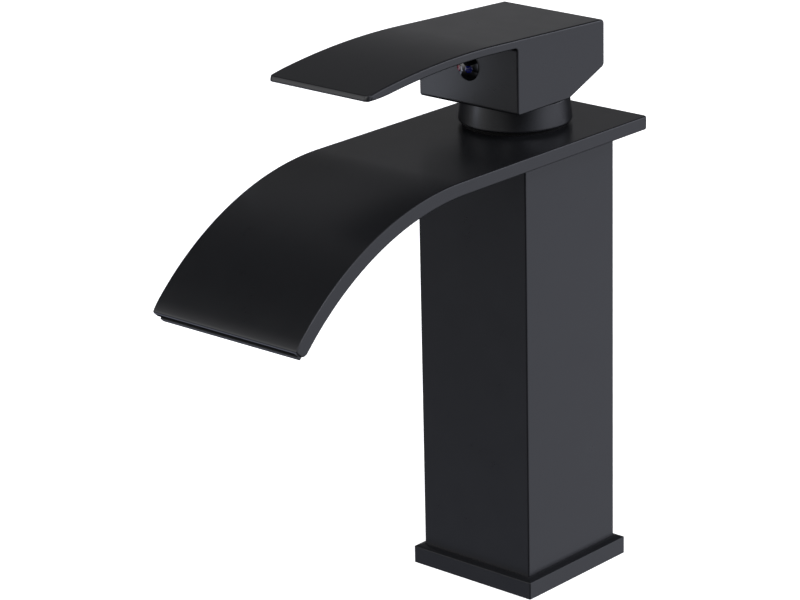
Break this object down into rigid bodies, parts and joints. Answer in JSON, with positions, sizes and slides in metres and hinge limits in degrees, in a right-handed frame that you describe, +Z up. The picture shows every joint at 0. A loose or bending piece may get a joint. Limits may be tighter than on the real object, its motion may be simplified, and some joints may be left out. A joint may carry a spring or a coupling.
{
  "type": "waterfall basin faucet",
  "caption": "Single-lever basin faucet on a square column, with a wide arched waterfall spout, a ceramic cartridge under the lever and a clamp for the deck.",
  "frame": {"origin": "centre of the base on the deck plane", "axes": "+Z up along the column, -Y the way the spout points, +X to the cold side"},
  "size_m": [0.0596, 0.1685, 0.2444],
  "materials": {
    "satin_black": "satin black coating",
    "gloss_black": "glossy black plastic",
    "hot_red": "glossy red",
    "cold_blue": "glossy blue",
    "brass": "machined brass",
    "steel": "zinc-plated steel",
    "rubber": "black rubber",
    "ceramic": "lapped ceramic",
    "cartridge_plastic": "moulded plastic"
  },
  "bodies": {
    "faucet_body": {"base_flange": "satin_black", "base_gasket": "rubber", "column_shell": "satin_black", "spout_cover": "satin_black", "spout_floor": "satin_black", "valve_body": "brass", "boss_seal": "rubber", "cartridge_housing": "cartridge_plastic", "cartridge_base": "cartridge_plastic", "port_seals": "rubber", "housing_seal": "rubber", "fixed_disc": "ceramic", "retaining_nut": "brass", "neck_gasket": "rubber", "neck_ring": "satin_black", "mounting_stud": "steel"},
    "rotor": {"cartridge_rotor": "cartridge_plastic", "pivot_pin": "steel"},
    "handle": {"cartridge_stem": "steel", "handle_lever": "satin_black", "grub_screw": "steel", "indicator_button": "gloss_black", "hot_marker": "hot_red", "cold_marker": "cold_blue"},
    "disc_set": {"disc_carrier": "cartridge_plastic", "moving_disc": "ceramic"},
    "deck_clamp": {"rubber_washer": "rubber", "steel_washer": "steel", "clamp_nut": "brass"}
  },
  "joints": [
    {"name": "temperature_turn", "type": "hinge", "parent": "faucet_body", "child": "rotor", "pos_m": [0, 0, 0.154], "axis": [0, 0, 1], "range_deg": [-45, 45]},
    {"name": "flow_lift", "type": "hinge", "parent": "rotor", "child": "handle", "pos_m": [0, 0, 0.154], "axis": [-1, 0, 0], "range_deg": [0, 20]},
    {"name": "disc_slide", "type": "slide", "parent": "rotor", "child": "disc_set", "axis": [0, -1, 0], "range_m": [0, 0.0036]},
    {"name": "deck_clamp_slide", "type": "slide", "parent": "faucet_body", "child": "deck_clamp", "axis": [0, 0, 1], "range_m": [-0.008, 0.025]}
  ],
  "couplings": [
    {"joint": "disc_slide", "follows": "flow_lift", "m_per_rad": 0.01}
  ]
}
